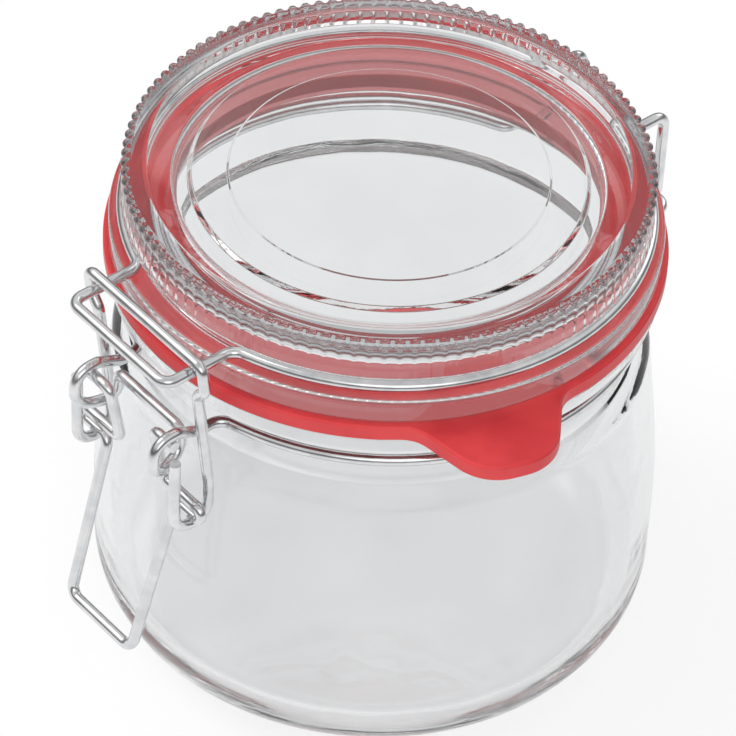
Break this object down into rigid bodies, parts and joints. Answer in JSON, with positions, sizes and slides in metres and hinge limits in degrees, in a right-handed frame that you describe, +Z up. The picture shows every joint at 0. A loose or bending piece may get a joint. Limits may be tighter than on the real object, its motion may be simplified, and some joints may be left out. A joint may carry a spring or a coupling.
{
  "type": "clip-top jar",
  "caption": "Round clear glass jar with a hinged glass lid with a beaded rim, a red rubber seal with a pull tab, and a bent-wire lever clip.",
  "frame": {"origin": "centre of the jar's base, where the jar's axis meets the face it stands on", "axes": "+Z up along the jar's axis, -Y towards the clip, +Y towards the lid's hinge, +X to the right of someone facing the clip"},
  "size_m": [0.106, 0.1149, 0.0952],
  "materials": {
    "glass": "clear pressed glass",
    "seal_rubber": "smooth red rubber",
    "wire_steel": "bright round wire"
  },
  "bodies": {
    "jar": {"jar_body": "glass", "neck_band": "wire_steel"},
    "lid": {"lid": "glass", "lid_wire": "wire_steel", "seal": "seal_rubber"},
    "lever": {"lever": "wire_steel"},
    "link": {"link": "wire_steel"}
  },
  "joints": [
    {"name": "lid_hinge", "type": "hinge", "parent": "jar", "child": "lid", "pos_m": [0, 0.0508, 0.0694], "axis": [-1, 0, 0], "range_deg": [0, 110]},
    {"name": "lever_pivot", "type": "hinge", "parent": "jar", "child": "lever", "pos_m": [0, -0.0536, 0.0693], "axis": [-1, 0, 0], "range_deg": [0, 120]},
    {"name": "link_pivot", "type": "hinge", "parent": "lever", "child": "link", "pos_m": [0, -0.0514, 0.0558], "axis": [1, 0, 0], "range_deg": [0, 150]}
  ],
  "couplings": [
    {"joint": "link_pivot", "follows": "lever_pivot", "ratio": 1.25}
  ]
}
